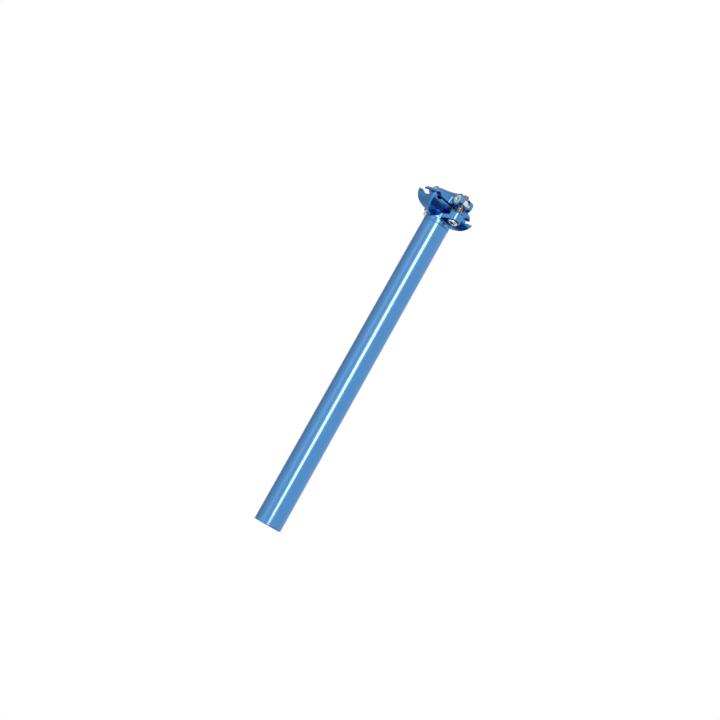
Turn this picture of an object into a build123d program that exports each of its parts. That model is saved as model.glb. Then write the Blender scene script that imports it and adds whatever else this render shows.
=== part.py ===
from build123d import *
import os
from math import cos, radians, sin, sqrt, tan

# Bicycle seatpost with a two-bolt saddle clamp, in millimetres.
# Z runs up the post from the middle of the tube's lower end, X runs across the saddle's rails,
# and the front of the bicycle is towards -Y.

# Tube
POST_DIAMETER = 27.2
TUBE_WALL = 2.0
POST_LENGTH = 350.0          # lower end of the tube to the middle of the rails
TUBE_END_EDGE = 0.8
TUBE_END_BEVEL = 0.5
SEAM_BEVEL = 0.35            # on both sides of the joint between tube and head

# Saddle rails, which belong to the saddle
RAIL_DIAMETER = 7.0
RAIL_SPACING = 44.0
RAIL_CLEARANCE = 0.05
RAIL_TILT = 10.0             # degrees, nose down from square to the post

# Head
HEAD_HEIGHT = 23.5           # seam to the middle of the rails
COLLAR_HEIGHT = 4.0
COLLAR_STEP = 2.4            # neck behind the collar, at its front and rear
NECK_WIDTH = 17.0
NECK_SLOPE = 0.8             # rise of the shoulder over its run
NECK_ROUND = 3.0
SPIGOT_LENGTH = 40.0
SPIGOT_BORE = 17.0
SPIGOT_FLOOR = 4.5           # metal left between the spigot's bore and the cradle's seat
BOND_GAP = 0.05              # glue line between spigot and tube
FRONT_BOSS_DIAMETER = 13.6
FRONT_BOSS_HEIGHT = 8.4
FRONT_HEAD_PROUD = 2.0       # bolt head below the underside of its ear
REAR_BOSS_DIAMETER = 13.0
REAR_BOSS_HEIGHT = 7.0
REAR_HEAD_PROUD = 5.2
BOSS_EDGE = 0.7
ARM_HEIGHT = 4.0             # front ear between the neck and its boss
EAR_ROOT_WIDTH = 17.0
EAR_ROUND = 1.8              # inside corners between ears and neck

# Cradle
ROCKER_RADIUS = 15.0         # about the middle of the rails
ROCKER_CLEARANCE = 0.08
CRADLE_WIDTH = 58.4          # lip to lip
CRADLE_DROP = 1.2            # rail middle to the cradle's top
GROOVE_MOUTH = 20.0          # degrees of groove left off at each side
NOTCH_LENGTH = 21.0          # along the rails, between the horns of a lip
NOTCH_DEPTH = 4.0
RIM_WIDTH = 2.6              # thinned band round the notch
RIM_DEPTH = 1.8              # how far that band lies inside the lip
CREASE_CUT = 0.8             # depth of the bevel between lip and rocker
CREASE_BEND = 32.0           # degrees down the rocker's round, where that bevel's curve is set
CREASE_END = 64.0            # degrees down the rocker's round, where that bevel runs out
POCKET_LENGTH = 25.0
POCKET_WIDTH = 17.0
POCKET_DEPTH = 8.0
POCKET_ROUND = 3.0

# Upper clamp
CLAMP_RISE = 1.2             # rail middle to the clamp's underside
NUT_REACH = 6.2              # barrel nuts beyond the rocker, along the rails
NUT_RISE = 7.7               # barrel nuts above the middle of the rails
LUG_RADIUS = 6.3
LUG_WIDTH = 17.0
LUG_SLOT = 7.4
LUG_SLOT_DEPTH = 11.5        # from the lug's end, along the rails
LUG_EDGE = 0.6
SPINE_WIDTH = 15.8
SPINE_DIP = 0.6
SPINE_EDGE = 2.4
WING_WIDTH = 52.6            # lip to lip
WING_LENGTH = 25.0           # along the rails, at the spine
WING_TIP_LENGTH = 20.0       # along the rails, at the lips
WING_CROWN = 5.8             # top of the hood above the middle of the rails
WING_LIP = 0.7               # thickness of the lip
HOOD_SLOPE = 0.35            # fall of the hood over its run, where it starts
WING_ROOT = 10.0             # top of the wing at the spine
WING_FLARE = 2.5             # inside round where the wing meets the spine

# Barrel nuts, bolts and washers
NUT_DIAMETER = 9.0
NUT_CLEARANCE = 0.05
NUT_INSET = 0.2              # nut ends below the lugs' outer faces
NUT_DIMPLE = 4.4
NUT_DIMPLE_DEPTH = 0.5
BOLT_DIAMETER = 5.7          # middle of the thread's depth on an M6 bolt
THREAD_CLEARANCE = 0.3
BOLT_LENGTH = 25.0           # under the head to the tip
FRONT_BOLT_END = 3.9         # bolt that stands out of its nut
REAR_BOLT_END = 1.4
BOLT_TIP = 0.8
BOLT_HEAD_DIAMETER = 10.0
BOLT_HEAD_HEIGHT = 6.0
BOLT_HEAD_EDGE = 0.6
SOCKET_WIDTH = 5.0           # across flats
SOCKET_DEPTH = 3.2
WASHER_DIAMETER = 10.0
WASHER_HOLE = 6.6
WASHER_RIM = 0.8
DOME_RADIUS = 8.0
DOME_CLEARANCE = 0.1
SEAT_ANGLE = 120.0           # degrees, between the walls of the conical seat over a domed washer
DISH_CLEARANCE = 0.6         # room round the washer for its swing
BOLT_SLOT_ROOM = 0.4         # room beside the bolt in the ear
BOLT_SLOT_SWING = 1.3        # room before and behind the bolt in the ear

post_radius = POST_DIAMETER / 2
tube_bore = post_radius - TUBE_WALL
seam_z = POST_LENGTH - HEAD_HEIGHT
rail_x = RAIL_SPACING / 2
groove_radius = RAIL_DIAMETER / 2 + RAIL_CLEARANCE
seat_radius = ROCKER_RADIUS + ROCKER_CLEARANCE
nut_along = ROCKER_RADIUS + NUT_REACH
clamp_frame = Pos(0, 0, POST_LENGTH) * Rot(RAIL_TILT, 0, 0)


def nut_place(side):
    """Middle of a barrel nut as y and z, with side -1 at the front and +1 at the rear."""
    tilt = radians(RAIL_TILT)
    along = side * nut_along
    y = along * cos(tilt) - NUT_RISE * sin(tilt)
    z = POST_LENGTH + along * sin(tilt) + NUT_RISE * cos(tilt)
    return y, z


# Depth below the underside of a bolt's head, to the middle of its washer's dome.
dome_rise = sqrt(DOME_RADIUS**2 - (WASHER_DIAMETER / 2)**2)
swing_depth = dome_rise - WASHER_RIM


class BoltPlace:
    """One ear's sizes, with the y and z of the underside of its bolt's head."""

    def __init__(self, side, bolt_end, boss_diameter, boss_height, head_proud):
        self.y, nut_z = nut_place(side)
        self.z = nut_z + NUT_DIAMETER / 2 + bolt_end - BOLT_LENGTH
        self.boss_radius = boss_diameter / 2
        self.boss_height = boss_height
        self.ear_low = self.z - BOLT_HEAD_HEIGHT + head_proud


front = BoltPlace(-1, FRONT_BOLT_END, FRONT_BOSS_DIAMETER, FRONT_BOSS_HEIGHT, FRONT_HEAD_PROUD)
rear = BoltPlace(1, REAR_BOLT_END, REAR_BOSS_DIAMETER, REAR_BOSS_HEIGHT, REAR_HEAD_PROUD)


def make_post_tube():
    """Plain tube with bevelled ends. The upper bevel leaves a fine groove at the seam."""
    wall = Pos(0, 0, seam_z / 2) * Cylinder(post_radius, seam_z)
    wall = chamfer(wall.edges().group_by(Axis.Z)[0], TUBE_END_EDGE)
    wall = chamfer(wall.edges().group_by(Axis.Z)[-1], SEAM_BEVEL)
    wall -= Pos(0, 0, seam_z / 2) * Cylinder(tube_bore, seam_z)
    inner_edge = wall.edges().filter_by(GeomType.CIRCLE).group_by(Axis.Z)[0].sort_by(SortBy.RADIUS)[0]
    return chamfer(inner_edge, TUBE_END_BEVEL)


def ear_plan(place):
    """Outline of one arm from above: a taper from the neck to the boss."""
    root = EAR_ROOT_WIDTH / 2
    tip = place.boss_radius
    return make_face(Polyline((-root, 0), (-tip, place.y), (tip, place.y), (root, 0), close=True))


def make_boss(place):
    """Round boss at the end of one ear, with its rims eased."""
    boss = Cylinder(place.boss_radius, place.boss_height)
    boss = chamfer(boss.edges().filter_by(GeomType.CIRCLE), BOSS_EDGE)
    return Pos(0, place.y, place.ear_low + place.boss_height / 2) * boss


def head_side():
    """Outline of the neck and arms from the side, with the front arm low and the rear arm high."""
    rear_top = rear.ear_low + rear.boss_height
    neck_y = post_radius - COLLAR_STEP
    outline = Polyline(
        (-neck_y, seam_z),
        (neck_y, seam_z),
        (neck_y, seam_z + COLLAR_HEIGHT),
        (rear.y - WASHER_DIAMETER / 2 - DISH_CLEARANCE, rear.ear_low),
        (rear.y, rear.ear_low),
        (rear.y, rear_top),
        (0, rear_top),
        (0, front.ear_low + ARM_HEIGHT),
        (front.y, front.ear_low + ARM_HEIGHT),
        (front.y, front.ear_low),
        (-neck_y, front.ear_low),
        close=True,
    )
    side = make_face(Plane.YZ * outline)
    corners = side.vertices().filter_by(lambda v: abs(v.Z - front.ear_low) < 0.01).sort_by(Axis.Y)[-1:]
    corners += side.vertices().filter_by(lambda v: abs(v.Z - rear.ear_low) < 0.01).sort_by(Axis.Y)[:1]
    return fillet(corners, EAR_ROUND)


def head_front():
    """Outline of the head from the front: a collar that draws in to a narrow neck."""
    half_neck = NECK_WIDTH / 2
    shoulder_z = seam_z + COLLAR_HEIGHT
    neck_z = shoulder_z + NECK_SLOPE * (post_radius - half_neck)
    top_z = POST_LENGTH + ROCKER_RADIUS
    right = Polyline(
        (0, seam_z),
        (post_radius, seam_z),
        (post_radius, shoulder_z),
        (half_neck, neck_z),
        (half_neck, top_z),
        (0, top_z),
        close=True,
    )
    face = make_face(Plane.XZ * right)
    corners = [v for v in face.vertices() if v.X > 0.1 and shoulder_z - 0.01 < v.Z < neck_z + 0.01]
    face = fillet(corners, NECK_ROUND)
    return face + mirror(face, Plane.YZ)


def bolt_seat(place):
    """Room for one bolt in its ear: a slot for the shank over a dish whose cone rests on the washer's dome."""
    dish_radius = WASHER_DIAMETER / 2 + DISH_CLEARANCE
    half_angle = radians(SEAT_ANGLE / 2)
    apex = (DOME_RADIUS + DOME_CLEARANCE) / sin(half_angle)
    shoulder = apex - dish_radius / tan(half_angle)
    low = -place.boss_height
    section = Polyline((0, apex), (0, low), (dish_radius, low), (dish_radius, shoulder), close=True)
    dish = revolve(make_face(Plane.XZ * section), Axis.Z)
    half_width = BOLT_DIAMETER / 2 + BOLT_SLOT_ROOM
    slot = SlotCenterToCenter(2 * BOLT_SLOT_SWING, 2 * half_width, rotation=90)
    shank = extrude(slot, DOME_RADIUS + place.boss_height)
    return Pos(0, place.y, place.z - swing_depth) * (dish + shank)


def make_post_head():
    """Forged head: three outlines crossed over a round collar, then the seats for cradle and bolts cut."""
    tall = Pos(0, 0, seam_z)
    plan = Circle(post_radius) + ear_plan(front) + ear_plan(rear)
    head = extrude(tall * plan, HEAD_HEIGHT + ROCKER_RADIUS)
    head &= extrude(head_side(), POST_DIAMETER, both=True)
    head &= extrude(head_front(), 2 * nut_along, both=True)
    head += make_boss(front) + make_boss(rear)
    head += Pos(0, 0, seam_z + COLLAR_HEIGHT / 2) * Cylinder(post_radius, COLLAR_HEIGHT)
    head = chamfer(head.edges().filter_by(GeomType.CIRCLE).group_by(Axis.Z)[0], SEAM_BEVEL)
    spigot_radius = tube_bore - BOND_GAP
    head += Pos(0, 0, seam_z - SPIGOT_LENGTH / 2) * Cylinder(spigot_radius, SPIGOT_LENGTH)
    bore_top = POST_LENGTH - seat_radius - SPIGOT_FLOOR
    bore_length = bore_top - (seam_z - SPIGOT_LENGTH)
    head -= Pos(0, 0, bore_top - bore_length / 2) * Cylinder(SPIGOT_BORE / 2, bore_length)
    head -= Pos(0, 0, POST_LENGTH) * Rot(0, 90, 0) * Cylinder(seat_radius, 2 * POST_DIAMETER)
    return head - bolt_seat(front) - bolt_seat(rear)


def groove_point(angle):
    """Point on the right-hand rail groove, at an angle in degrees from straight out."""
    turn = radians(angle)
    return rail_x + groove_radius * cos(turn), groove_radius * sin(turn)


def crease_point(angle):
    """Reach and height of the bevel between lip and rocker, at an angle down the rocker's round."""
    along = ROCKER_RADIUS * cos(radians(angle))
    across = CRADLE_WIDTH / 2 - ROCKER_RADIUS + along
    return sqrt(across**2 + along**2) - CREASE_CUT, -ROCKER_RADIUS * sin(radians(angle))


def make_lower_cradle():
    """Rocker with a rail groove at each end: its section across the rails, cut by two rounds."""
    lip_x = CRADLE_WIDTH / 2
    keel_x = lip_x - ROCKER_RADIUS
    bilge = ROCKER_RADIUS * sin(radians(45))
    inner_x = rail_x - sqrt(groove_radius**2 - CRADLE_DROP**2)
    section = Polyline((0, -ROCKER_RADIUS), (0, -CRADLE_DROP), (inner_x, -CRADLE_DROP))
    section += ThreePointArc((inner_x, -CRADLE_DROP), groove_point(-90), groove_point(-GROOVE_MOUTH))
    section += Line(groove_point(-GROOVE_MOUTH), (lip_x, 0))
    section += ThreePointArc((lip_x, 0), (keel_x + bilge, -bilge), (keel_x, -ROCKER_RADIUS))
    section += Line((keel_x, -ROCKER_RADIUS), (0, -ROCKER_RADIUS))
    half = make_face(Plane.XZ * section)
    cradle = extrude(half + mirror(half, Plane.YZ), ROCKER_RADIUS, both=True)
    cradle &= Rot(0, 90, 0) * Cylinder(ROCKER_RADIUS, CRADLE_WIDTH)
    tip, bend, end = crease_point(0), crease_point(CREASE_BEND), crease_point(CREASE_END)
    bowl_low = -2 * ROCKER_RADIUS
    bowl = ThreePointArc(tip, bend, end)
    bowl += Polyline(end, (end[0], bowl_low), (0, bowl_low), (0, ROCKER_RADIUS), (tip[0], ROCKER_RADIUS), tip)
    cradle &= revolve(make_face(Plane.XZ * bowl), Axis.Z)
    notch_radius = (NOTCH_LENGTH**2 / 4 + NOTCH_DEPTH**2) / (2 * NOTCH_DEPTH)
    notch_z = notch_radius - NOTCH_DEPTH
    for end in (-1, 1):
        lip_wall = end * (rail_x + lip_x) / 2
        notch = Pos(lip_wall, 0, notch_z) * Rot(0, 90, 0) * Cylinder(notch_radius, lip_x - rail_x)
        band_x = end * (lip_x - RIM_DEPTH / 2)
        band = Pos(band_x, 0, notch_z) * Rot(0, 90, 0) * Cylinder(notch_radius + RIM_WIDTH, RIM_DEPTH)
        cradle -= notch + band
    pocket = Pos(0, 0, -CRADLE_DROP - POCKET_DEPTH / 2) * Box(POCKET_LENGTH, POCKET_WIDTH, POCKET_DEPTH)
    pocket = fillet(pocket.edges().filter_by(Axis.Z), POCKET_ROUND)
    return clamp_frame * (cradle - pocket)


def make_upper_clamp():
    """Bridge over the rails: a spine with a slotted lug at each end, and a hooded wing at each side."""
    spine_side = Pos(0, NUT_RISE) * SlotCenterToCenter(2 * nut_along, 2 * LUG_RADIUS)
    span = nut_along - LUG_RADIUS
    dip_radius = (span**2 + SPINE_DIP**2) / (2 * SPINE_DIP)
    spine_side -= Pos(0, NUT_RISE + LUG_RADIUS - SPINE_DIP + dip_radius) * Circle(dip_radius)
    spine = extrude(Plane.YZ * spine_side, SPINE_WIDTH / 2, both=True)
    shoulders = spine.edges().filter_by(Axis.X, reverse=True)
    shoulders = shoulders.filter_by_position(Axis.Z, NUT_RISE + LUG_RADIUS / 2, NUT_RISE + 2 * LUG_RADIUS)
    spine = chamfer(shoulders, SPINE_EDGE)
    lip_x = WING_WIDTH / 2
    lip_low = groove_radius * sin(radians(GROOVE_MOUTH))
    inner_x = rail_x - sqrt(groove_radius**2 - CLAMP_RISE**2)
    section = Polyline((0, WING_ROOT), (0, CLAMP_RISE), (inner_x, CLAMP_RISE))
    section += ThreePointArc((inner_x, CLAMP_RISE), groove_point(90), groove_point(GROOVE_MOUTH))
    section += Line(groove_point(GROOVE_MOUTH), (lip_x, lip_low + WING_LIP))
    crown = (rail_x, WING_CROWN)
    section += TangentArc(crown, (lip_x, lip_low + WING_LIP), tangent=(1, -HOOD_SLOPE), tangent_from_first=True)
    section += Line(crown, (0, WING_ROOT))
    half = make_face(Plane.XZ * section)
    root_x = SPINE_WIDTH / 2
    root_y = WING_LENGTH / 2 + WING_FLARE
    wings = extrude(half + mirror(half, Plane.YZ), root_y, both=True)
    flare_x = root_x + WING_FLARE * (1 - cos(radians(45)))
    flare_y = root_y - WING_FLARE * sin(radians(45))
    flare_end = (root_x + WING_FLARE, WING_LENGTH / 2)
    plan = Polyline((0, 0), (0, root_y), (root_x, root_y))
    plan += ThreePointArc((root_x, root_y), (flare_x, flare_y), flare_end)
    plan += Polyline(flare_end, (lip_x, WING_TIP_LENGTH / 2), (lip_x, 0), (0, 0))
    plan = make_face(plan)
    plan += mirror(plan, Plane.XZ)
    plan += mirror(plan, Plane.YZ)
    wings &= extrude(plan, 2 * WING_ROOT)
    clamp = spine + wings
    for side in (-1, 1):
        lug = Rot(0, 90, 0) * Cylinder(LUG_RADIUS, LUG_WIDTH)
        lug = chamfer(lug.edges().filter_by(GeomType.CIRCLE), LUG_EDGE)
        clamp += Pos(0, side * nut_along, NUT_RISE) * lug
    for side in (-1, 1):
        lug_end = side * (nut_along + LUG_RADIUS)
        slot = Pos(0, lug_end) * Rectangle(LUG_SLOT, 2 * LUG_SLOT_DEPTH)
        clamp -= extrude(slot, NUT_RISE + 2 * LUG_RADIUS)
        nut_hole = Rot(0, 90, 0) * Cylinder(NUT_DIAMETER / 2 + NUT_CLEARANCE, LUG_WIDTH)
        clamp -= Pos(0, side * nut_along, NUT_RISE) * nut_hole
    return clamp_frame * clamp


def make_barrel_nut(side):
    """Cross nut: a short rod across the clamp, drilled for the bolt and dimpled at its ends."""
    y, z = nut_place(side)
    length = LUG_WIDTH - 2 * NUT_INSET
    rod = Rot(0, 90, 0) * Cylinder(NUT_DIAMETER / 2, length)
    rod -= Cylinder(BOLT_DIAMETER / 2 + THREAD_CLEARANCE, NUT_DIAMETER)
    for end in (-1, 1):
        rod -= Pos(end * length / 2, 0, 0) * Rot(0, 90, 0) * Cylinder(NUT_DIMPLE / 2, 2 * NUT_DIMPLE_DEPTH)
    return Pos(0, y, z) * rod


def make_bolt(place):
    """Socket-head bolt, head down, with its thread as a plain rod."""
    head = Pos(0, 0, -BOLT_HEAD_HEIGHT / 2) * Cylinder(BOLT_HEAD_DIAMETER / 2, BOLT_HEAD_HEIGHT)
    head = chamfer(head.edges().filter_by(GeomType.CIRCLE).group_by(Axis.Z)[0], BOLT_HEAD_EDGE)
    socket = RegularPolygon(SOCKET_WIDTH / 2, 6, major_radius=False)
    head -= Pos(0, 0, -BOLT_HEAD_HEIGHT) * extrude(socket, SOCKET_DEPTH)
    shank = Pos(0, 0, BOLT_LENGTH / 2) * Cylinder(BOLT_DIAMETER / 2, BOLT_LENGTH)
    shank = chamfer(shank.edges().group_by(Axis.Z)[-1], BOLT_TIP)
    return Pos(0, place.y, place.z) * (head + shank)


def make_washer(place):
    """Washer that is flat below and a slice of a ball above."""
    hole = WASHER_HOLE / 2
    rim = WASHER_DIAMETER / 2
    middle = (hole + rim) / 2

    def dome(radius):
        return sqrt(DOME_RADIUS**2 - radius**2) - swing_depth

    section = Polyline((hole, dome(hole)), (hole, 0), (rim, 0), (rim, WASHER_RIM))
    section += ThreePointArc((rim, WASHER_RIM), (middle, dome(middle)), (hole, dome(hole)))
    ring = revolve(make_face(Plane.XZ * section), Axis.Z)
    return Pos(0, place.y, place.z) * ring


pieces = {
    "post_tube": make_post_tube(),
    "post_head": make_post_head(),
    "lower_cradle": make_lower_cradle(),
    "upper_clamp": make_upper_clamp(),
}
for end_name, side, place in (("front", -1, front), ("rear", 1, rear)):
    pieces[end_name + "_barrel_nut"] = make_barrel_nut(side)
    pieces[end_name + "_bolt"] = make_bolt(place)
    pieces[end_name + "_washer"] = make_washer(place)

os.makedirs("parts", exist_ok=True)
for name, solid in pieces.items():
    export_step(solid, "parts/" + name + ".step")
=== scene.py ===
from math import cos, pi, radians

import bmesh
import bpy
import numpy as np
from mathutils import Matrix, Vector


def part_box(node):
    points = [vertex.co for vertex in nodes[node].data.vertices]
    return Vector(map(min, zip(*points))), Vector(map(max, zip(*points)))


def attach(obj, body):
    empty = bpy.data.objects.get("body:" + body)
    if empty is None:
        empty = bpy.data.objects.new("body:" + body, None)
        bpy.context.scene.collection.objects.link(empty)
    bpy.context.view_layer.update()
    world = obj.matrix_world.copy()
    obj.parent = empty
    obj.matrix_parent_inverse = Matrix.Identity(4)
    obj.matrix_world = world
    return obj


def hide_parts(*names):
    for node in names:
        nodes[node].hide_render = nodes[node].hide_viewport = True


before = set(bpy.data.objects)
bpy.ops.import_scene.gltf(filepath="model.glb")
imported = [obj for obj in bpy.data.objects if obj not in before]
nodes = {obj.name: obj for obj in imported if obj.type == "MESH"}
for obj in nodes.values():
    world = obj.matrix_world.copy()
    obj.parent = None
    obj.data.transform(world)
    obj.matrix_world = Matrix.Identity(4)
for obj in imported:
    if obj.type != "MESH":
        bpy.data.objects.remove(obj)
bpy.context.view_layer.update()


# Post tube
# Aluminium tube, drawn over a mandrel and cut square. Its lower edge is rounded on a lathe, its top
# edge is bevelled where the head meets it, and it is polished and then dyed blue by anodising.
MM = 0.001
TUBE_WALL = 2.0 * MM
TUBE_END_ROUND = 0.8 * MM
TUBE_END_BEVEL = 0.5 * MM
TUBE_SEAM_BEVEL = 0.35 * MM
TUBE_FACETS = 192
ROUND_STEPS = 8
WELD_GAP = 0.0005 * MM
SHARP_EDGE = radians(32)
BLUE_DYE = "#458CC8"
BLUE_DYE_DEEP = "#3A80C0"
# colour of the painted shade in the hollows of the anodised pieces
HOLLOW_SHADE_BLUE = "#123468"
# colour of the paler edges: thin film there, and a painted highlight as well
WORN_AND_HIGHLIT_BLUE = "#9CC2E6"
GLANCING_BLUE = "#9DBEE6"
TUBE_FILM = 1.0
TUBE_WEAR_AND_HIGHLIGHT = 0.45 * MM
DRAWN_LINES = (1.0, 1.0, 0.02)    # the polish runs up the tube

scene = bpy.context.scene


def linear(colour):
    """Linear RGBA of an sRGB hex colour: each channel over 12.92, or raised to the power 2.4."""
    srgb = np.array([int(colour[i:i + 2], 16) for i in (1, 3, 5)]) / 255
    rgb = np.where(srgb <= 0.04045, srgb / 12.92, ((srgb + 0.055) / 1.055) ** 2.4)
    return (*rgb.tolist(), 1.0)


def feed(tree, node, **inputs):
    """Give each named input a value or a link. Inputs that share a name go by place, as i0, i1."""
    for name, value in inputs.items():
        by_place = name[0] == "i" and name[1:].isdigit()
        socket = node.inputs[int(name[1:]) if by_place else name.replace("_", " ")]
        if isinstance(value, bpy.types.NodeSocket):
            tree.links.new(value, socket)
        else:
            socket.default_value = value


def add(tree, kind, settings=(), **inputs):
    """Add a node with its settings, and feed its inputs."""
    node = tree.nodes.new(kind)
    for name, value in dict(settings).items():
        setattr(node, name, value)
    feed(tree, node, **inputs)
    return node


def start_material(name, **constants):
    """New material with constants on its shader, and the piece's own coordinates in metres."""
    material = bpy.data.materials.new(name)
    material.use_nodes = True
    tree = material.node_tree
    tree.nodes.clear()
    shader = add(tree, "ShaderNodeBsdfPrincipled", **constants)
    add(tree, "ShaderNodeOutputMaterial", Surface=shader.outputs["BSDF"])
    place = add(tree, "ShaderNodeTexCoord").outputs["Object"]
    return material, tree, shader, place


def anodised_aluminium(name, grain_stretch, film, edge_wear_and_highlight, lean=None):
    """Blue anodised aluminium: a metal mirror seen through a dyed, clear oxide film.

    The film shines as a coat of its own, more so over polish than over a tumbled surface. The dye
    differs a little from place to place, and hollows are darkened towards a deep blue as painted
    shade.
    Edges are paler, because the film is thin there, and this also serves as a painted highlight.
    The polish leaves grain, drawn coarser than it is so that it shows. A lean, where one is given,
    turns the normals of some faces.
    """
    dye_patch = 9 * MM
    hollow_width = 6 * MM
    grain_width = 0.35 * MM
    grain_height = 0.02 * MM
    roughest, smoothest = 0.25, 0.15
    material, tree, shader, place = start_material(
        name, Metallic=1.0, Specular_Tint=linear(GLANCING_BLUE),
        Coat_Weight=film, Coat_Roughness=0.12, Coat_IOR=1.5)

    cloud = add(tree, "ShaderNodeTexNoise", Vector=place, Scale=1 / dye_patch,
                Detail=3.0, Roughness=0.6)
    even = add(tree, "ShaderNodeMix", {"data_type": "RGBA"}, Factor=cloud.outputs["Fac"],
               i6=linear(BLUE_DYE), i7=linear(BLUE_DYE_DEEP))
    # painted shade: the dye darkens towards a deep blue where the piece's own surfaces close in
    reach = add(tree, "ShaderNodeAmbientOcclusion", {"samples": 8, "only_local": True},
                Distance=hollow_width)
    hollow_shade = add(tree, "ShaderNodeMapRange", Value=reach.outputs["AO"],
                 From_Min=0.6, From_Max=0.2, To_Min=0.0, To_Max=0.9)
    dye_and_hollow_shade = add(tree, "ShaderNodeMix", {"data_type": "RGBA"}, Factor=hollow_shade.outputs["Result"],
              i6=even.outputs[2], i7=linear(HOLLOW_SHADE_BLUE))

    rounded = add(tree, "ShaderNodeBevel", {"samples": 6}, Radius=edge_wear_and_highlight)
    flat = add(tree, "ShaderNodeNewGeometry")
    alike = add(tree, "ShaderNodeVectorMath", {"operation": "DOT_PRODUCT"},
                i0=rounded.outputs["Normal"], i1=flat.outputs["Normal"])
    # edges are paler: partly thin film, partly a painted highlight
    edge = add(tree, "ShaderNodeMapRange", Value=alike.outputs["Value"],
               From_Min=0.995, From_Max=0.8, To_Min=0.0, To_Max=0.45)
    colour = add(tree, "ShaderNodeMix", {"data_type": "RGBA"}, Factor=edge.outputs["Result"],
                 i6=dye_and_hollow_shade.outputs[2], i7=linear(WORN_AND_HIGHLIT_BLUE))

    stretched = add(tree, "ShaderNodeMapping", Vector=place, Scale=grain_stretch)
    grain = add(tree, "ShaderNodeTexNoise", Vector=stretched.outputs["Vector"],
                Scale=1 / grain_width, Detail=2.0, Roughness=0.55)
    polish = add(tree, "ShaderNodeMapRange", Value=grain.outputs["Fac"],
                 From_Min=0.3, From_Max=0.7, To_Min=smoothest, To_Max=roughest)
    normal = rounded.outputs["Normal"]
    if lean:
        normal = lean(tree, place, normal)
    bump = add(tree, "ShaderNodeBump", Strength=0.06, Distance=grain_height,
               Height=grain.outputs["Fac"], Normal=normal)
    feed(tree, shader, Base_Color=colour.outputs[2], Roughness=polish.outputs["Result"],
         Normal=bump.outputs["Normal"])
    return material


def arc(centre, radius, start, end, steps):
    """Points on a circle about centre from a start to an end angle in degrees, as rows of r, z."""
    angle = np.radians(np.linspace(start, end, steps + 1))
    return np.c_[centre[0] + radius * np.cos(angle), centre[1] + radius * np.sin(angle)]


def skin(name, grid, along, closed):
    """Mesh over a grid of points, with rows along a profile and columns round an axis.

    The last column joins the first, and the last row joins the first if closed. The UV map holds
    the share of a turn and the length along the profile in millimetres.
    """
    rows, columns = grid.shape[:2]
    index = np.arange(rows * columns).reshape(rows, columns)
    here = index if closed else index[:-1]
    there = np.roll(index, -1, axis=0)[:len(here)]
    quads = np.stack([here, np.roll(here, -1, 1), np.roll(there, -1, 1), there], axis=-1)
    mesh = bpy.data.meshes.new(name)
    mesh.from_pydata(grid.reshape(-1, 3).tolist(), [], quads.reshape(-1, 4).tolist())

    left = np.arange(columns) / columns
    right = left + 1 / columns
    length = np.append(along, along[-1]) / MM
    low, high = length[:-1], length[1:]
    u = np.stack([left, right, right, left], axis=-1)
    v = np.stack([low, low, high, high], axis=-1)[:len(here)]
    uv = np.stack(np.broadcast_arrays(u[None], v[:, None]), axis=-1)
    mesh.uv_layers.new(name="turned").uv.foreach_set("vector", uv.astype(np.float32).ravel())

    work = bmesh.new()
    work.from_mesh(mesh)
    bmesh.ops.remove_doubles(work, verts=work.verts, dist=WELD_GAP)
    bmesh.ops.recalc_face_normals(work, faces=work.faces)
    work.to_mesh(mesh)
    work.free()
    mesh.shade_smooth()
    mesh.set_sharp_from_angle(angle=SHARP_EDGE)
    piece = bpy.data.objects.new(name, mesh)
    scene.collection.objects.link(piece)
    return piece


def turned(name, r, z, middle, closed):
    """Surface about an upright axis: radius r at height z becomes (x + r cos a, y + r sin a, z).

    The angle a runs once round over the columns of r, and the rows follow the profile.
    """
    a = np.arange(r.shape[1]) * 2 * pi / r.shape[1]
    x, y = middle[0] + r * np.cos(a), middle[1] + r * np.sin(a)
    steps = np.hypot(np.diff(r[:, 0]), np.diff(z[:, 0]))
    along = np.append(0, np.cumsum(steps))
    return skin(name, np.stack(np.broadcast_arrays(x, y, z), axis=-1), along, closed)


def circles(profile, columns):
    """Radius and height of a row of full circles, one for each profile point r, z."""
    profile = np.atleast_2d(profile)
    return np.repeat(profile[:, :1], columns, axis=1), profile[:, 1:]


tube_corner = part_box("post_tube")[1]
tube_radius, tube_top = tube_corner.x, tube_corner.z
tube_bore = tube_radius - TUBE_WALL
tube_profile = np.vstack([
    arc((tube_radius - TUBE_END_ROUND, TUBE_END_ROUND), TUBE_END_ROUND, -90, 0, ROUND_STEPS),
    [(tube_radius, tube_top - TUBE_SEAM_BEVEL), (tube_radius - TUBE_SEAM_BEVEL, tube_top)],
    [(tube_bore, tube_top), (tube_bore, TUBE_END_BEVEL), (tube_bore + TUBE_END_BEVEL, 0)],
])
tube = turned("drawn_tube", *circles(tube_profile, TUBE_FACETS), (0, 0), True)
tube.data.materials.append(
    anodised_aluminium("blue_anodised_drawn_tube", DRAWN_LINES, TUBE_FILM, TUBE_WEAR_AND_HIGHLIGHT))
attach(tube, "post")
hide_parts("post_tube")


# Head, cradle and upper clamp
# Three aluminium forgings: trimmed, machined at seats and bores, tumbled, so that every edge is a
# little round, and anodised in the same bath as the tube. The head is bonded into the tube by its
# spigot, and the cradle and the upper clamp grip the saddle's rails.
TUMBLED_FILM = 0.55
TUMBLED_EDGE = 0.8 * MM
TUMBLED_GRAIN = (1.0, 1.0, 1.0)
COLLAR_TOP = 331 * MM
BOSS_FACE = -24 * MM
NECK_FACE = -5 * MM
FLANK_BLEND = 1.5 * MM
FLANK_DRAFT = 0.55


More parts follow.
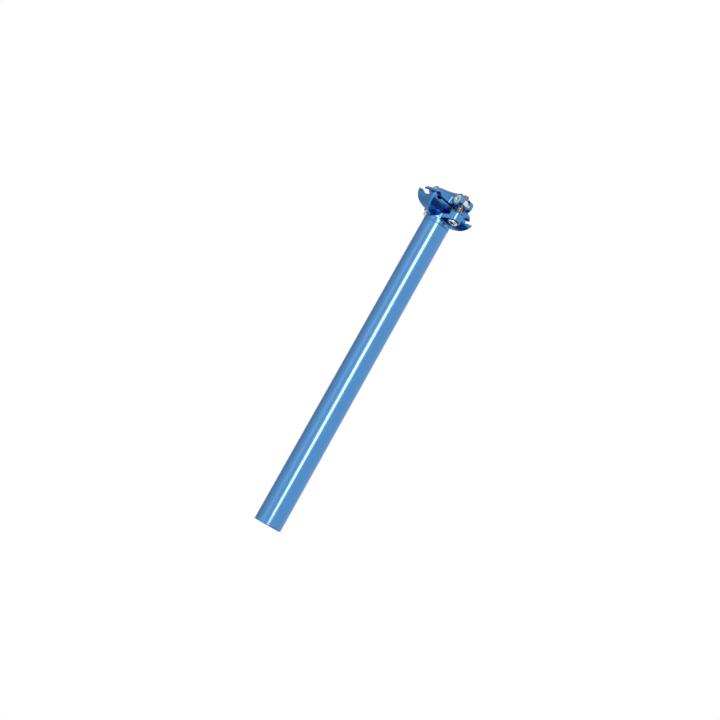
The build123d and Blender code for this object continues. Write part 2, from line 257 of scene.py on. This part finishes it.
def drafted_flanks(tree, place, normal):
    """Normals of the front arm's sides, turned to the front as the draft of a forging die is.

    This is shading alone: minus y grows by the draft times the size of the normal's x, and fades
    out at the collar's top, at the boss and at the neck.
    """
    spot = add(tree, "ShaderNodeSeparateXYZ", Vector=place)
    facing = add(tree, "ShaderNodeSeparateXYZ",
                 Vector=add(tree, "ShaderNodeNewGeometry").outputs["Normal"])
    sideways = add(tree, "ShaderNodeMath", {"operation": "ABSOLUTE"}, i0=facing.outputs["X"])
    flank = sideways.outputs["Value"]
    for axis, edge, inward in (("Z", COLLAR_TOP, 1), ("Y", BOSS_FACE, 1), ("Y", NECK_FACE, -1)):
        share = add(tree, "ShaderNodeMapRange", Value=spot.outputs[axis],
                    From_Min=edge, From_Max=edge + inward * FLANK_BLEND)
        product = add(tree, "ShaderNodeMath", {"operation": "MULTIPLY"},
                      i0=flank, i1=share.outputs["Result"])
        flank = product.outputs["Value"]
    draft = add(tree, "ShaderNodeVectorMath", {"operation": "SCALE"},
                i0=(0, -FLANK_DRAFT, 0), Scale=flank)
    drafted = add(tree, "ShaderNodeVectorMath", {"operation": "ADD"},
                  i0=normal, i1=draft.outputs["Vector"])
    return drafted.outputs["Vector"]


clamp_blue = anodised_aluminium(
    "blue_anodised_clamp_forging", TUMBLED_GRAIN, TUMBLED_FILM, TUMBLED_EDGE)
head_blue = anodised_aluminium(
    "blue_anodised_head_forging", TUMBLED_GRAIN, TUMBLED_FILM, TUMBLED_EDGE, drafted_flanks)
nodes["lower_cradle"].data.materials[0] = clamp_blue
nodes["upper_clamp"].data.materials[0] = clamp_blue
nodes["post_head"].data.materials[0] = head_blue


# Barrel nuts
# Short steel rods, turned, drilled and tapped across, and nickel plated with a warm tint. Each
# turns in the lugs of the upper clamp, and its ends keep fine rings from the lathe.
NICKEL = "#F3EFE8"
NICKEL_SHADE = "#DCD3C6"
NUT_CENTRE = "#A98F74"
NUT_CENTRE_RADIUS = 2.2 * MM
NUT_RING_PITCH = 0.4 * MM
NUT_RING_HEIGHT = 0.02 * MM
NUT_EDGE = 0.4 * MM
WAVES_PER_UNIT = 20    # a wave texture of scale 1 repeats about so often


def turned_nickel(name, middle):
    """Nickel plate over turned steel: fine rings about the nut's own axis, from the lathe.

    The rings are drawn coarser than they are, so that they show. The centre hole is coloured
    brown.
    """
    material, tree, shader, place = start_material(name, Metallic=1.0, Roughness=0.28)
    centred = add(tree, "ShaderNodeMapping", {"vector_type": "POINT"}, Vector=place,
                  Location=(0, -middle.y, -middle.z), Scale=(0, 1, 1))
    rings = add(tree, "ShaderNodeTexWave", {"wave_type": "RINGS", "rings_direction": "X"},
                Vector=centred.outputs["Vector"], Scale=1 / NUT_RING_PITCH / WAVES_PER_UNIT,
                Distortion=0.6)
    plate = add(tree, "ShaderNodeMix", {"data_type": "RGBA"}, Factor=rings.outputs["Fac"],
                i6=linear(NICKEL_SHADE), i7=linear(NICKEL))
    radius = add(tree, "ShaderNodeVectorMath", {"operation": "LENGTH"},
                 i0=centred.outputs["Vector"])
    inside = add(tree, "ShaderNodeMapRange", Value=radius.outputs["Value"],
                 From_Min=NUT_CENTRE_RADIUS, From_Max=0.7 * NUT_CENTRE_RADIUS)
    colour = add(tree, "ShaderNodeMix", {"data_type": "RGBA"}, Factor=inside.outputs["Result"],
                 i6=plate.outputs[2], i7=linear(NUT_CENTRE))
    rounded = add(tree, "ShaderNodeBevel", {"samples": 6}, Radius=NUT_EDGE)
    bump = add(tree, "ShaderNodeBump", Strength=0.2, Distance=NUT_RING_HEIGHT,
               Height=rings.outputs["Fac"], Normal=rounded.outputs["Normal"])
    feed(tree, shader, Base_Color=colour.outputs[2], Normal=bump.outputs["Normal"])
    return material


for end in ("front", "rear"):
    low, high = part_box(end + "_barrel_nut")
    nickel = turned_nickel(end + "_nut_nickel", (low + high) / 2)
    nodes[end + "_barrel_nut"].data.materials[0] = nickel


# Washers and bolts
# Domed washers of hard steel in dishes under the head's ears, and M6 socket-head bolts of bright
# stainless steel through them into the nuts: cold headed, with a rolled thread, a knurled head side
# and a broached six-sided socket.
STEEL = "#EAE8E2"
STEEL_SHADE = "#A5A29B"
# colour of the painted shade in socket, thread and knurl
RECESS_SHADE = "#2E2A26"
STEEL_EDGE = 0.15 * MM
HEAD_HEIGHT = 6.0 * MM
HEAD_ROUND = 1.3 * MM
HEAD_STEPS = 6
HEAD_LIP = 0.3 * MM
NECK_ROUND = 0.3 * MM
FILLET_STEPS = 4
KNURLS = 40
KNURL_DEPTH = 0.25 * MM
BOLT_COLUMNS = 4 * KNURLS
THREAD_RADIUS = 2.9 * MM
THREAD_DEPTH = 0.55 * MM
THREAD_PITCH = 1.0 * MM
THREAD_STEPS = 10
THREAD_TIP = 0.8 * MM
SOCKET_WIDTH = 5.0 * MM
SOCKET_DEPTH = 3.2 * MM
SOCKET_POINT = 0.8 * MM


def bright_steel(name):
    """Bright stainless steel: a clear mirror, with painted shade in socket, thread and knurl.

    Its fine grain is drawn coarser than it is, so that it shows.
    """
    grain_width = 0.5 * MM
    groove_width = 5.0 * MM
    material, tree, shader, place = start_material(name, Metallic=1.0)
    grain = add(tree, "ShaderNodeTexNoise", Vector=place, Scale=1 / grain_width, Detail=3.0)
    shade = add(tree, "ShaderNodeMapRange", Value=grain.outputs["Fac"],
                From_Min=0.35, From_Max=0.75, To_Min=0.0, To_Max=0.35)
    bare = add(tree, "ShaderNodeMix", {"data_type": "RGBA"}, Factor=shade.outputs["Result"],
               i6=linear(STEEL), i7=linear(STEEL_SHADE))
    # painted shade: the colour darkens where the bolt's own surfaces close in
    reach = add(tree, "ShaderNodeAmbientOcclusion", {"samples": 8, "only_local": True},
                Distance=groove_width)
    recess_shade_share = add(tree, "ShaderNodeMapRange", Value=reach.outputs["AO"],
               From_Min=0.98, From_Max=0.5, To_Min=0.0, To_Max=0.92)
    colour = add(tree, "ShaderNodeMix", {"data_type": "RGBA"}, Factor=recess_shade_share.outputs["Result"],
                 i6=bare.outputs[2], i7=linear(RECESS_SHADE))
    polish = add(tree, "ShaderNodeMapRange", Value=grain.outputs["Fac"],
                 From_Min=0.3, From_Max=0.7, To_Min=0.16, To_Max=0.3)
    rounded = add(tree, "ShaderNodeBevel", {"samples": 6}, Radius=STEEL_EDGE)
    feed(tree, shader, Base_Color=colour.outputs[2], Roughness=polish.outputs["Result"],
         Normal=rounded.outputs["Normal"])
    return material


def socket_bolt(name, low, high):
    """Bolt from its tip up to its socket, as rows of radius and height over the turn.

    In the thread the radius rises and falls as a triangle wave of height less the turn's share of
    the pitch. On the head's side it dips at each knurl. In the socket it is half the width across
    flats over the cosine of the angle from the nearest flat.
    """
    a = np.arange(BOLT_COLUMNS) * 2 * pi / BOLT_COLUMNS
    under_head = low.z + HEAD_HEIGHT
    side_top, side_low = under_head - HEAD_LIP, low.z + HEAD_ROUND
    head_radius = high.x
    half_width = SOCKET_WIDTH / 2
    corner = half_width / cos(pi / 6)

    count = int((high.z - under_head) / THREAD_PITCH) * THREAD_STEPS
    thread_z = np.linspace(high.z, under_head + NECK_ROUND, count)[:, None]
    wave = np.abs((thread_z / THREAD_PITCH - a / (2 * pi)) % 1 * 2 - 1)
    crest = np.minimum(THREAD_RADIUS, THREAD_RADIUS - THREAD_TIP + (high.z - thread_z))
    thread = np.minimum(crest, THREAD_RADIUS - THREAD_DEPTH * wave)
    knurled = head_radius - KNURL_DEPTH * 0.5 * (1 - np.cos(KNURLS * a))
    hexagon = half_width / np.cos((a + pi / 6) % (pi / 3) - pi / 6)

    neck = arc((THREAD_RADIUS + NECK_ROUND, under_head + NECK_ROUND), NECK_ROUND,
               180, 270, FILLET_STEPS)
    lip = arc((head_radius - HEAD_LIP, side_top), HEAD_LIP, 90, 0, FILLET_STEPS)
    face = arc((head_radius - HEAD_ROUND, side_low), HEAD_ROUND, 0, -90, HEAD_STEPS)
    side_z = np.c_[[side_top - HEAD_LIP, side_low + HEAD_LIP]]
    socket_z = np.c_[[low.z + corner - half_width, low.z + SOCKET_DEPTH]]
    bands = [
        circles((0, high.z), BOLT_COLUMNS),
        (thread, thread_z),
        circles(np.vstack([neck, lip]), BOLT_COLUMNS),
        (np.stack([knurled, knurled]), side_z),
        circles(np.vstack([face, (corner, low.z)]), BOLT_COLUMNS),
        (np.stack([hexagon, hexagon]), socket_z),
        circles((0, low.z + SOCKET_DEPTH + SOCKET_POINT), BOLT_COLUMNS),
    ]
    r, z = (np.vstack(part) for part in zip(*bands))
    return turned(name, r, z, (low + high) / 2, False)


steel = bright_steel("stainless_steel_cold_headed")
for end in ("front", "rear"):
    bolt = socket_bolt(end + "_socket_bolt", *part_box(end + "_bolt"))
    bolt.data.materials.append(steel)
    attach(bolt, end + "_bolt_set")
    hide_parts(end + "_bolt")
    nodes[end + "_washer"].data.materials[0] = steel


# Floor, cloth and card
# A floor of matt white paper under a white sky, so wide that the two meet without a line. As in a
# studio for bright metal, a navy cloth that pales to its rim lies low at the right, and a bent card
# of graded grey stands behind at the left, where only the metal sees them.
PAPER = "#FFFFFF"
SKY = "#FFFFFF"
UNLIT = "#000000"
PAPER_CLOUD = 125 * MM
FLOOR_HALF = 4.0
CLOTH_MIDDLE = (0.63, -0.45)
CLOTH_DROP = 0.3
CLOTH_SIDES = 48
CLOTH_TONES = ((0.0, "#44537D"), (0.5, "#44537D"), (0.98, "#FFFFFF"))
CARD_RADIUS = 0.7
CARD_TOP = 1.2
CARD_COLUMNS = 25
CARD_TONES = ((60, "#DEDEDE"), (75, "#D8D8D8"), (110, "#C0C0C0"), (138, "#E4E4E4"),
              (167, "#FDFDFD"))


def matt_paper(name, colour):
    """Uncoated white paper: matt, with a tone that is faintly uneven."""
    material, tree, shader, place = start_material(name, Roughness=0.9, Specular_IOR_Level=0.0)
    tone = add(tree, "ShaderNodeTexNoise", Vector=place, Scale=1 / PAPER_CLOUD, Detail=2.0)
    level = add(tree, "ShaderNodeMapRange", Value=tone.outputs["Fac"], To_Min=0.995, To_Max=1.0)
    shade = add(tree, "ShaderNodeVectorMath", {"operation": "SCALE"}, i0=linear(colour)[:3],
                Scale=level.outputs["Result"])
    feed(tree, shader, Base_Color=shade.outputs["Vector"])
    return material


def distance_on_cloth(tree, place):
    """Distance from the middle of the cloth in metres."""
    return add(tree, "ShaderNodeVectorMath", {"operation": "DISTANCE"}, i0=place,
               i1=(*CLOTH_MIDDLE, -CLOTH_DROP))


def turn_round_post(tree, place):
    """Angle round the post in degrees, from the arc tangent of y over x."""
    spot = add(tree, "ShaderNodeSeparateXYZ", Vector=place)
    angle = add(tree, "ShaderNodeMath", {"operation": "ARCTAN2"},
                i0=spot.outputs["Y"], i1=spot.outputs["X"])
    return add(tree, "ShaderNodeMath", {"operation": "DEGREES"}, i0=angle.outputs["Value"])


def toned(name, measure, tones):
    """Dyed cloth or printed card in an even light of its own, so that it reflects without specks.

    Its tones run smoothly over a measure of the place.
    """
    material, tree, shader, place = start_material(
        name, Base_Color=linear(UNLIT), Specular_IOR_Level=0.0, Emission_Strength=1.0)
    first, last = tones[0][0], tones[-1][0]
    share = add(tree, "ShaderNodeMapRange", Value=measure(tree, place).outputs["Value"],
                From_Min=first, From_Max=last)
    ramp = add(tree, "ShaderNodeValToRGB", Fac=share.outputs["Result"])
    stops = ramp.color_ramp.elements
    while len(stops) < len(tones):
        stops.new(0.5)
    for stop, (at, colour) in zip(stops, tones):
        stop.position = (at - first) / (last - first)
        stop.color = linear(colour)
    feed(tree, shader, Emission_Color=ramp.outputs["Color"])
    material.cycles.emission_sampling = "NONE"
    return material


def sheet(name, points, faces, material):
    """Thin sheet of a few faces over given points."""
    mesh = bpy.data.meshes.new(name)
    mesh.from_pydata(points.tolist(), [], faces.tolist())
    mesh.materials.append(material)
    piece = bpy.data.objects.new(name, mesh)
    scene.collection.objects.link(piece)
    return piece


floor_corners = FLOOR_HALF * np.array([(-1, -1, 0), (1, -1, 0), (1, 1, 0), (-1, 1, 0)])
floor = sheet("floor", floor_corners, np.arange(4)[None], matt_paper("white_paper", PAPER))
floor.visible_glossy = False

cloth_angle = np.arange(CLOTH_SIDES) * 2 * pi / CLOTH_SIDES
cloth_circle = CLOTH_TONES[-1][0] * np.c_[np.cos(cloth_angle), np.sin(cloth_angle)]
cloth_rim = np.c_[CLOTH_MIDDLE + cloth_circle, np.full(CLOTH_SIDES, -CLOTH_DROP)]
cloth = sheet("navy_cloth", cloth_rim, np.arange(CLOTH_SIDES)[None],
              toned("navy_cloth", distance_on_cloth, CLOTH_TONES))

card_angle = np.radians(np.linspace(CARD_TONES[0][0], CARD_TONES[-1][0], CARD_COLUMNS))
card_bend = CARD_RADIUS * np.c_[np.cos(card_angle), np.sin(card_angle)]
card_edges = [np.c_[card_bend, np.full(CARD_COLUMNS, z)] for z in (-CLOTH_DROP, CARD_TOP)]
column = np.arange(CARD_COLUMNS - 1)
card_faces = np.c_[column, column + CARD_COLUMNS, column + CARD_COLUMNS + 1, column + 1]
card = sheet("bent_card", np.vstack(card_edges), card_faces,
             toned("graded_card", turn_round_post, CARD_TONES))
for screen in (cloth, card):
    screen.visible_camera = False
    screen.visible_diffuse = False
    screen.visible_shadow = False
    screen.visible_transmission = False

world = bpy.data.worlds.new("white_sky")
world.use_nodes = True
feed(world.node_tree, world.node_tree.nodes["Background"], Color=linear(SKY), Strength=1.0)
scene.world = world


# Camera
# It stands low in front of the post and to its left, looks up at the middle, and is rolled, so that
# the post leans across the square picture.
AIM_HEIGHT = 0.1760
DISTANCE = 0.9682
HEADING = 35.05
LOOK_UP = 9.63
ROLL = 29.30
FOCAL_PIXELS = 1025.0
PICTURE_PIXELS = 720
SENSOR = 36.0

post_middle = Vector((0, 0, AIM_HEIGHT))
camera_turn = (Matrix.Rotation(radians(-HEADING), 4, "Z")
               @ Matrix.Rotation(radians(90 + LOOK_UP), 4, "X")
               @ Matrix.Rotation(radians(ROLL), 4, "Z"))
forward = camera_turn.to_3x3() @ Vector((0, 0, -1))
camera_data = bpy.data.cameras.new("camera")
camera_data.sensor_width = SENSOR
camera_data.lens = FOCAL_PIXELS / PICTURE_PIXELS * SENSOR
camera = bpy.data.objects.new("camera", camera_data)
camera.matrix_world = Matrix.Translation(post_middle - DISTANCE * forward) @ camera_turn
scene.collection.objects.link(camera)
scene.camera = camera
scene.view_settings.view_transform = "Standard"


# Lamps
# A tall soft box behind the camera draws the bright line along the tube, and a weak one at the left
# draws a faint second line. Both are warm, because the blue metal cools their light.
WARM_LAMP = "#FFBA8B"
STRIP_BACK = 1.9
STRIP_RISE = 0.35
STRIP_SIZE = (0.58, 1.5)
STRIP_RADIANCE = 10.5
SIDE_PLACE = (-1.6, -0.11, 0.3)
SIDE_SIZE = (0.62, 1.5)
SIDE_RADIANCE = 0.55


def soft_box(name, offset, size, radiance):
    """Area lamp at an offset from the post's middle, which it faces.

    Its power is the radiance times pi times its area.
    """
    data = bpy.data.lights.new(name, "AREA")
    data.color = linear(WARM_LAMP)[:3]
    data.shape = "RECTANGLE"
    data.size, data.size_y = size
    data.energy = radiance * pi * size[0] * size[1]
    lamp = bpy.data.objects.new(name, data)
    facing = (-offset).to_track_quat("-Z", "Y").to_matrix().to_4x4()
    lamp.matrix_world = Matrix.Translation(post_middle + offset) @ facing
    scene.collection.objects.link(lamp)
    lamp.visible_camera = False


level = Vector((forward.x, forward.y, 0)).normalized()
soft_box("strip_box", Vector((0, 0, STRIP_RISE)) - STRIP_BACK * level, STRIP_SIZE, STRIP_RADIANCE)
soft_box("side_box", Vector(SIDE_PLACE), SIDE_SIZE, SIDE_RADIANCE)
